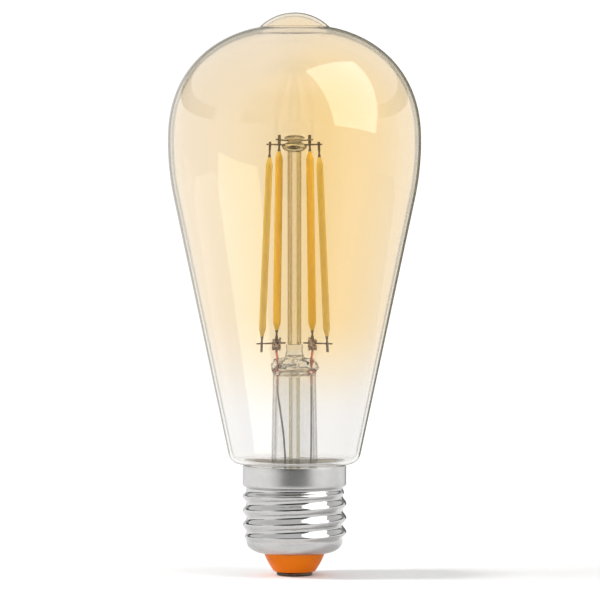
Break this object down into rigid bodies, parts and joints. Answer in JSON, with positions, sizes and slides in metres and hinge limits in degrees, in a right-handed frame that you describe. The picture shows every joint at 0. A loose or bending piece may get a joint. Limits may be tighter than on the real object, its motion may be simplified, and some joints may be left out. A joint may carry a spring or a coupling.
{
  "type": "filament lamp with screw cap",
  "caption": "Pear-shaped amber glass filament lamp with a small knob at the top, a glass stem that carries upright LED filaments, and a metal screw cap that holds the driver.",
  "frame": {"origin": "centre of the lower face of the centre contact, the lowest point of the lamp", "axes": "+Z along the lamp axis from the contact to the knob of the bulb; -Y towards the two outer filaments; +X across them, to the right when seen from -Y"},
  "size_m": [0.064, 0.064, 0.1424],
  "materials": {
    "amber_glass": "clear blown glass with a thin amber coat that fades towards the cap",
    "clear_glass": "clear drawn glass, fire polished",
    "nickel_plate": "rolled sheet, nickel plated, satin to bright",
    "contact_metal": "pressed, plated, slightly dull",
    "orange_insulator": "moulded, semi-gloss orange",
    "capping_cement": "baked cement, matt",
    "phosphor_silicone": "orange-yellow phosphor in soft silicone, slightly glossy",
    "filament_ceramic": "white, smooth",
    "nickel_wire": "drawn nickel wire and strip",
    "copper_seal_wire": "copper-clad wire, oxidised red",
    "board_laminate": "green solder resist",
    "black_moulding": "moulded black, matt",
    "aluminium_can": "drawn, satin",
    "resistor_body": "lacquered, blue-green",
    "enamelled_wire": "enamelled copper winding",
    "insulating_film": "thin translucent film"
  },
  "bodies": {
    "root": {"bridge_rectifier": "black_moulding", "capping_cement": "capping_cement", "centre_contact": "contact_metal", "clamp_left": "nickel_wire", "clamp_right": "nickel_wire", "contact_wire": "nickel_wire", "crossbar_left": "nickel_wire", "crossbar_right": "nickel_wire", "driver_board": "board_laminate", "driver_chip": "black_moulding", "driver_sleeve": "insulating_film", "exhaust_tube": "clear_glass", "fusible_resistor": "resistor_body", "glass_envelope": "amber_glass", "glass_pillar": "clear_glass", "inductor_core": "black_moulding", "inductor_winding": "enamelled_wire", "inner_left_lower_tab": "nickel_wire", "inner_left_phosphor": "phosphor_silicone", "inner_left_substrate": "filament_ceramic", "inner_left_upper_tab": "nickel_wire", "inner_link_wire": "nickel_wire", "inner_right_lower_tab": "nickel_wire", "inner_right_phosphor": "phosphor_silicone", "inner_right_substrate": "filament_ceramic", "inner_right_upper_tab": "nickel_wire", "insulator": "orange_insulator", "lead_wire_left": "nickel_wire", "lead_wire_right": "nickel_wire", "outer_left_lower_tab": "nickel_wire", "outer_left_phosphor": "phosphor_silicone", "outer_left_substrate": "filament_ceramic", "outer_left_upper_tab": "nickel_wire", "outer_link_wire": "nickel_wire", "outer_right_lower_tab": "nickel_wire", "outer_right_phosphor": "phosphor_silicone", "outer_right_substrate": "filament_ceramic", "outer_right_upper_tab": "nickel_wire", "pillar_button": "clear_glass", "radio_board": "board_laminate", "radio_shield": "aluminium_can", "resistor_lead": "nickel_wire", "screw_shell": "nickel_plate", "seal_wire_left": "copper_seal_wire", "seal_wire_right": "copper_seal_wire", "shell_wire": "nickel_wire", "smoothing_capacitor": "aluminium_can", "stem": "clear_glass"}
  },
  "joints": []
}
